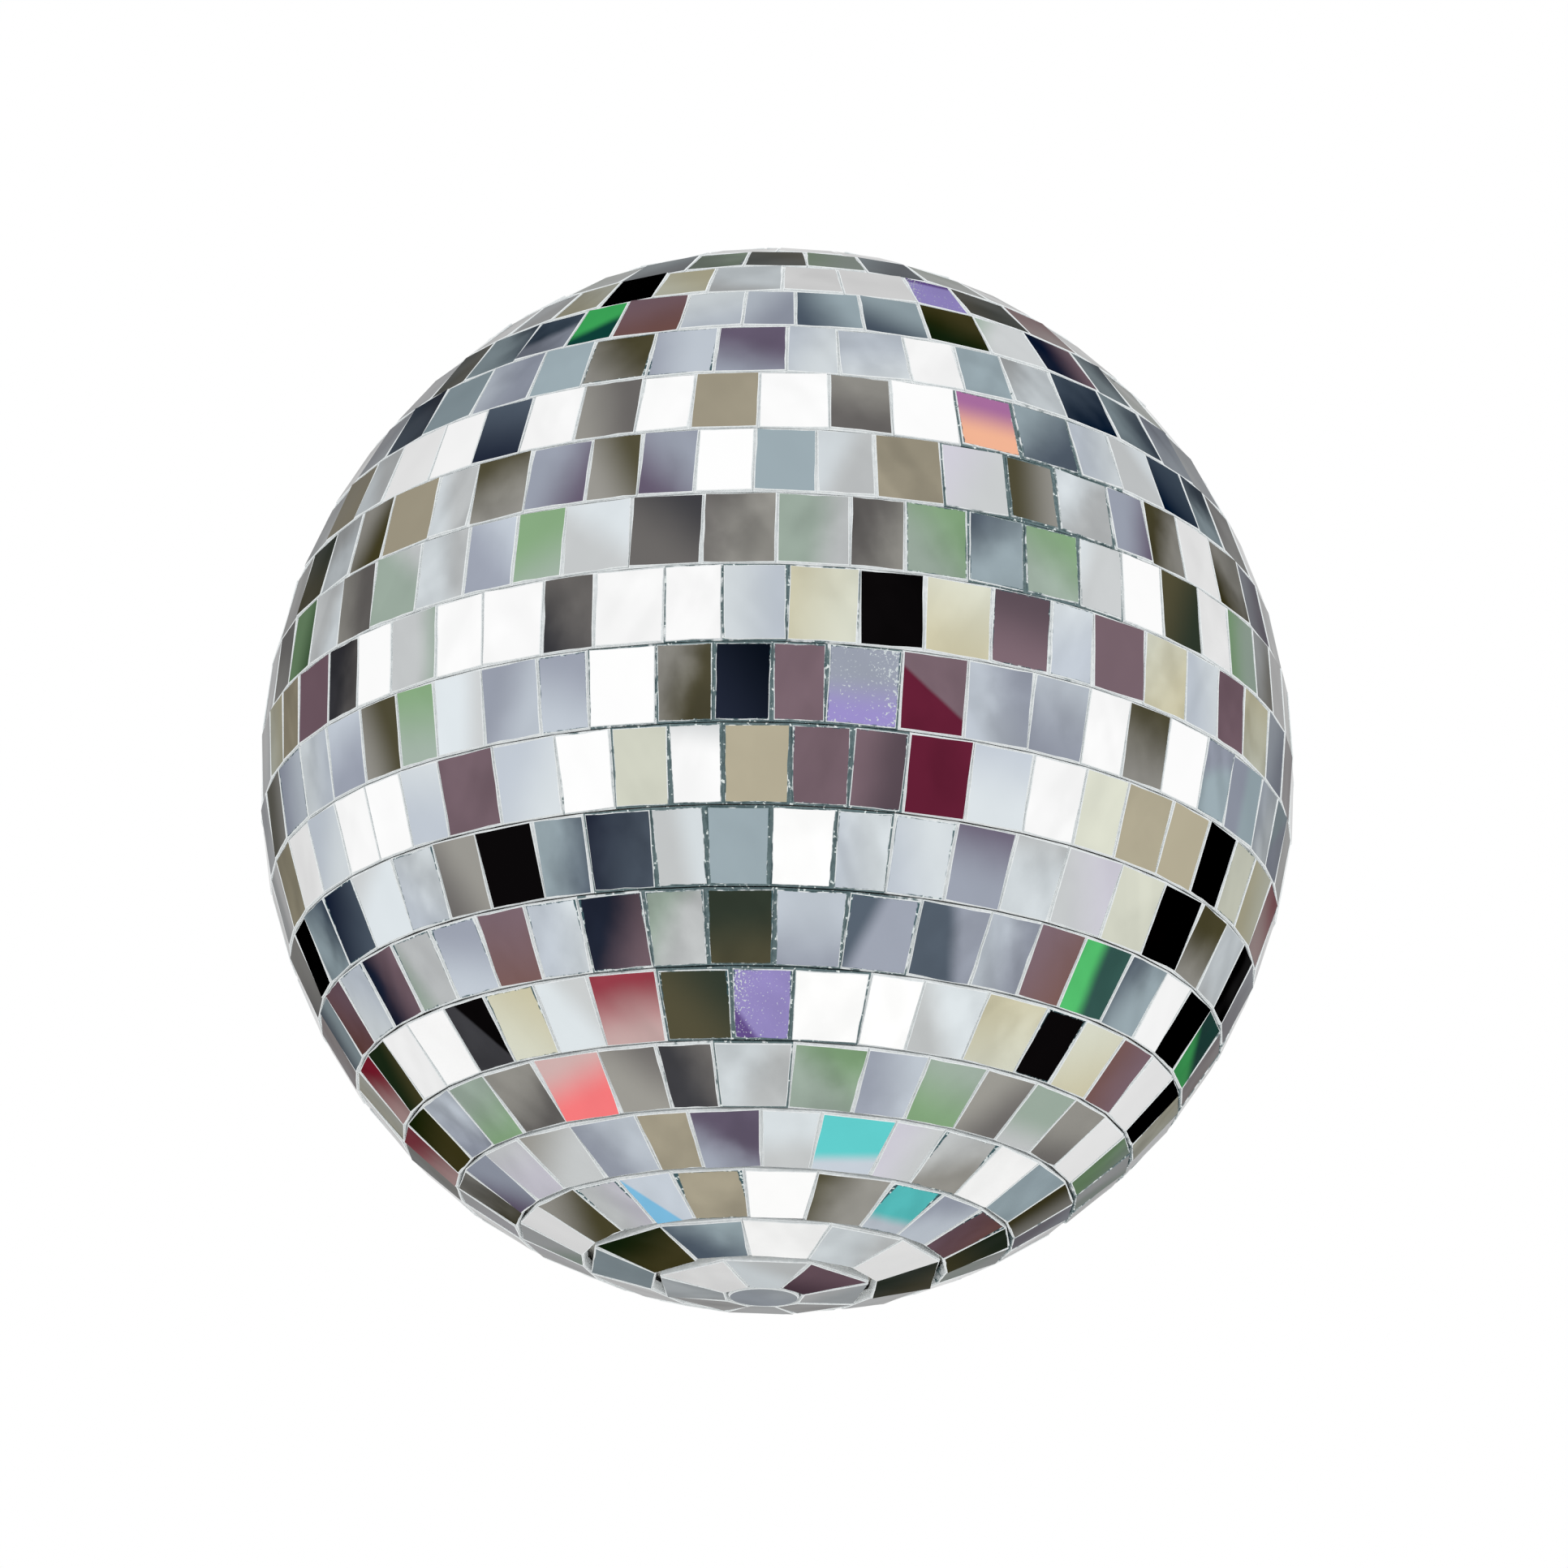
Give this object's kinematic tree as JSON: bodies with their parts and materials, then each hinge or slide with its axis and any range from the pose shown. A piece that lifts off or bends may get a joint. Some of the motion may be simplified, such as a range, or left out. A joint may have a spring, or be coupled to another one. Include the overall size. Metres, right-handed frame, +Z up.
{
  "type": "mirror ball",
  "caption": "Hanging mirror ball with rows of small flat glass tiles on a hollow core, which spins on a swivel stem under a fold-down hanging ring.",
  "frame": {"origin": "the hang point: the centre of the hanging ring's pivot bar, inside the stem's cross bore, on the ball's spin axis", "axes": "+Z up along the spin axis, -Z to the bottom pole, +X along the ring's pivot bar, +Y towards which the ring lies folded"},
  "size_m": [0.15, 0.15, 0.1571],
  "materials": {
    "mirror_glass": "silvered flat glass tiles, each tilted a little differently, on a pale woven tape",
    "core_plastic": "off-white moulded plastic, matt",
    "plate_chrome": "bright plated pressed steel",
    "hanger_steel": "zinc-plated turned and bent steel",
    "bush_nylon": "natural nylon, waxy"
  },
  "bodies": {
    "hanger": {"hanger_stem": "hanger_steel", "thrust_washer": "hanger_steel", "stem_nut": "hanger_steel"},
    "ball": {"core_lower_shell": "core_plastic", "core_upper_shell": "core_plastic", "mirror_band_01": "mirror_glass", "mirror_band_02": "mirror_glass", "mirror_band_03": "mirror_glass", "mirror_band_04": "mirror_glass", "mirror_band_05": "mirror_glass", "mirror_band_06": "mirror_glass", "mirror_band_07": "mirror_glass", "mirror_band_08": "mirror_glass", "mirror_band_09": "mirror_glass", "mirror_band_10": "mirror_glass", "mirror_band_11": "mirror_glass", "mirror_band_12": "mirror_glass", "mirror_band_13": "mirror_glass", "mirror_band_14": "mirror_glass", "mirror_band_15": "mirror_glass", "mirror_band_16": "mirror_glass", "mirror_band_17": "mirror_glass", "mirror_band_18": "mirror_glass", "mirror_band_19": "mirror_glass", "mirror_band_20": "mirror_glass", "mirror_band_21": "mirror_glass", "pole_mirror": "mirror_glass", "top_plate": "plate_chrome", "plate_screw_1": "hanger_steel", "plate_screw_2": "hanger_steel", "plate_screw_3": "hanger_steel", "plate_screw_4": "hanger_steel", "hanger_bush": "bush_nylon"},
    "ring": {"hanging_ring": "hanger_steel"}
  },
  "joints": [
    {"name": "ball_spin", "type": "hinge", "parent": "hanger", "child": "ball", "pos_m": [0, 0, 0], "axis": [0, 0, 1], "continuous": true},
    {"name": "ring_fold", "type": "hinge", "parent": "hanger", "child": "ring", "pos_m": [0, 0, 0], "axis": [1, 0, 0], "range_deg": [0, 192.9]}
  ]
}
